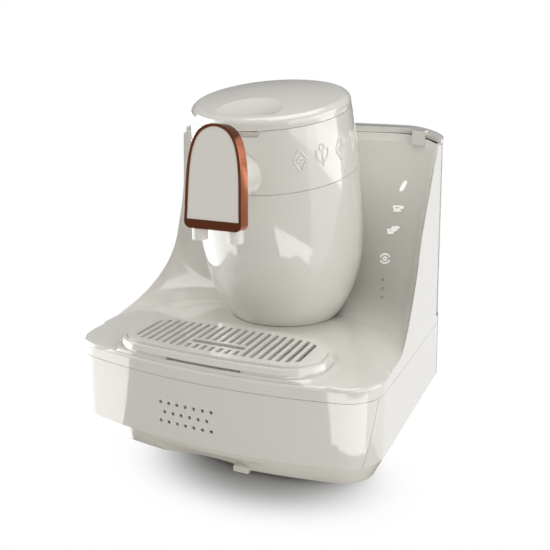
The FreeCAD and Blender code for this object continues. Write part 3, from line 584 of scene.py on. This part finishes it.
def area(name, spot, aim, size, power, shine):
    """Soft rectangular light at spot, turned to aim. A shine light shows only as a reflection."""
    data = bpy.data.lights.new(name, "AREA")
    data.shape = "RECTANGLE"
    data.size, data.size_y = size
    data.energy = power
    lamp = bpy.data.objects.new(name, data)
    lamp.location = spot
    lamp.rotation_euler = (Vector(aim) - Vector(spot)).to_track_quat("-Z", "Y").to_euler()
    lamp.visible_diffuse = not shine
    bpy.context.scene.collection.objects.link(lamp)
    return lamp


def maths(tree, operation, first, second):
    """Math node of two inputs, each a number or another node's output."""
    node = tree.nodes.new("ShaderNodeMath")
    node.operation = operation
    for socket, value in zip(node.inputs, (first, second)):
        if isinstance(value, (int, float)):
            socket.default_value = value
        else:
            tree.links.new(value, socket)
    return node.outputs["Value"]


def floor_material():
    """Floor that is white but for a soft shadow, and that gloss mirrors as bright cards and a dark gap.
    The shadow is partly painted: a grey patch of lit floor, where the object's real shadows also fall,
    fading into emitted white.

    The shadow's weight is e to the power -p squared. There p is the sum of two squares, each the distance
    from the shadow's middle along X or Y over the spread along that axis.
    """
    # Grey of the painted shadow's patch; away from it the floor is emitted white.
    ground = material("floor", linear((150, 150, 150)), 0.9)
    tree = ground.node_tree
    shader = tree.nodes["Principled BSDF"]
    shader.inputs["Specular IOR Level"].default_value = 0.0
    spot = tree.nodes.new("ShaderNodeSeparateXYZ")
    tree.links.new(tree.nodes["Texture Coordinate"].outputs["Object"], spot.inputs["Vector"])
    x, y = spot.outputs["X"], spot.outputs["Y"]
    path = tree.nodes.new("ShaderNodeLightPath")
    camera_ray = path.outputs["Is Camera Ray"]

    def emission(strength):
        node = tree.nodes.new("ShaderNodeEmission")
        if isinstance(strength, float):
            node.inputs["Strength"].default_value = strength
        else:
            tree.links.new(strength, node.inputs["Strength"])
        return node.outputs["Emission"]

    def mixed(factor, first, second):
        node = tree.nodes.new("ShaderNodeMixShader")
        tree.links.new(factor, node.inputs["Fac"])
        tree.links.new(first, node.inputs[1])
        tree.links.new(second, node.inputs[2])
        return node.outputs["Shader"]

    def product(*factors):
        total = factors[0]
        for factor in factors[1:]:
            total = maths(tree, "MULTIPLY", total, factor)
        return total

    def over(value, edge):
        return maths(tree, "GREATER_THAN", value, edge)

    def under(value, edge):
        return maths(tree, "LESS_THAN", value, edge)

    across = maths(tree, "DIVIDE", maths(tree, "SUBTRACT", x, PAINTED_SHADOW_SPOT[0]), PAINTED_SHADOW_SPREAD[0])
    along = maths(tree, "DIVIDE", maths(tree, "SUBTRACT", y, PAINTED_SHADOW_SPOT[1]), PAINTED_SHADOW_SPREAD[1])
    power = maths(tree, "ADD", product(across, across), product(along, along))
    fall = product(power, power, -1.0)
    weight = maths(tree, "POWER", math.e, fall)
    # Painted shadow: where the weight is near one the floor is the grey lit floor, which also takes real
    # shadows; elsewhere it is emitted white.
    shown = mixed(weight, emission(1.0), shader.outputs["BSDF"])
    pale = tree.nodes.new("ShaderNodeBsdfDiffuse")
    pale.inputs["Color"].default_value = (0.85, 0.85, 0.84, 1.0)
    lit = mixed(camera_ray, pale.outputs["BSDF"], shown)

    square = maths(tree, "ADD", product(x, x), product(y, y))
    away = maths(tree, "SQRT", square, 0.0)
    dimmed = maths(tree, "SUBTRACT", 1.0, product(over(y, RIGHT_CARD_NEAR_Y), RIGHT_CARD_DIP))
    right = product(over(away, CARD_INNER_R), under(away, CARD_OUTER_R))
    right = product(right, over(x, RIGHT_CARD_X), under(y, RIGHT_CARD_FAR_Y), dimmed)
    slanted = maths(tree, "ADD", y, product(x, BESIDE_CARD_SLOPE))
    beside = product(over(slanted, 0.0), over(x, BESIDE_CARD_X), BESIDE_CARD_SHARE)
    slanted = maths(tree, "SUBTRACT", y, product(x, LEFT_CARD_SLOPE))
    left = product(over(slanted, LEFT_CARD_EDGE), under(x, 0.0))
    cards = maths(tree, "MAXIMUM", maths(tree, "MAXIMUM", right, beside), left)
    mirrored = emission(maths(tree, "ADD", maths(tree, "MULTIPLY", cards, CARD_GLOW), GAP_GLOW))
    shader_out = mixed(path.outputs["Is Glossy Ray"], lit, mirrored)
    tree.links.new(shader_out, tree.nodes["Material Output"].inputs["Surface"])
    return ground


def studio_world():
    """Dim even surround, darker where it is mirrored and white where it is seen."""
    world = bpy.data.worlds.new("studio")
    world.use_nodes = True
    tree = world.node_tree
    back = tree.nodes["Background"]
    back.inputs["Color"].default_value = (1.0, 0.98, 0.95, 1.0)
    back.inputs["Strength"].default_value = WORLD_GLOW
    path = tree.nodes.new("ShaderNodeLightPath")
    seen = back.outputs["Background"]
    for ray, strength in (("Is Glossy Ray", WORLD_IN_GLOSS), ("Is Camera Ray", WORLD_IN_VIEW)):
        other = tree.nodes.new("ShaderNodeBackground")
        other.inputs["Color"].default_value = (1.0, 1.0, 1.0, 1.0)
        other.inputs["Strength"].default_value = strength
        mix = tree.nodes.new("ShaderNodeMixShader")
        tree.links.new(path.outputs[ray], mix.inputs["Fac"])
        tree.links.new(seen, mix.inputs[1])
        tree.links.new(other.outputs["Background"], mix.inputs[2])
        seen = mix.outputs["Shader"]
    tree.links.new(seen, tree.nodes["World Output"].inputs["Surface"])
    return world


class KTC_OT_stage(bpy.types.Operator):
    """Set the floor, lights and camera"""

    bl_idname = "ktc.stage"
    bl_label = "Stage"

    def execute(self, context):
        scene = context.scene
        side = np.linspace(-FLOOR_HALF, FLOOR_HALF, FLOOR_ROWS)
        floor = surface("floor", [[(x, y, 0.0) for x in side] for y in side], floor_material())
        scene.world = studio_world()
        for light in LIGHTS:
            area(*light)

        camera = bpy.data.objects.new("camera", bpy.data.cameras.new("camera"))
        camera.data.lens = CAMERA_LENS
        camera.data.sensor_width = 36.0
        camera.location = CAMERA_SPOT
        camera.rotation_euler = (CAMERA_TILT, 0.0, CAMERA_TURN)
        scene.collection.objects.link(camera)
        scene.camera = camera
        scene.render.resolution_x = PICTURE_SIDE
        scene.render.resolution_y = PICTURE_SIDE
        scene.view_settings.view_transform = "Standard"
        scene.view_settings.look = "None"
        return {"FINISHED"}


class KTC_PT_panel(bpy.types.Panel):
    """Buttons and settings of the coffee maker's looks"""

    bl_idname = "KTC_PT_panel"
    bl_label = "Coffee Maker"
    bl_space_type = "VIEW_3D"
    bl_region_type = "UI"
    bl_category = "Coffee Maker"

    def draw(self, context):
        layout = self.layout
        for op in OPERATORS:
            layout.operator(op.bl_idname)
        for group in SETTINGS:
            settings = getattr(context.scene, group)
            for name in settings.__annotations__:
                layout.prop(settings, name)


SETTINGS = {
    "ktc_finish": FinishSettings,
    "ktc_band": BandSettings,
    "ktc_keys": KeySettings,
    "ktc_collar": CollarSettings,
}
OPERATORS = (KTC_OT_finishes, KTC_OT_band, KTC_OT_keys, KTC_OT_collar, KTC_OT_stage)


def register():
    """Register the classes and hang the settings on the scene."""
    for cls in (*SETTINGS.values(), *OPERATORS, KTC_PT_panel):
        bpy.utils.register_class(cls)
    for name, cls in SETTINGS.items():
        setattr(bpy.types.Scene, name, bpy.props.PointerProperty(type=cls))


def unregister():
    """Take the settings and the classes away again."""
    for name in SETTINGS:
        delattr(bpy.types.Scene, name)
    for cls in (KTC_PT_panel, *reversed(OPERATORS), *reversed(SETTINGS.values())):
        bpy.utils.unregister_class(cls)


def main():
    """Build every piece and the stage."""
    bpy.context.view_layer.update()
    register()
    bpy.ops.ktc.finishes()
    bpy.ops.ktc.band()
    bpy.ops.ktc.keys()
    bpy.ops.ktc.collar()
    bpy.ops.ktc.stage()


if __name__ == "__main__":
    main()
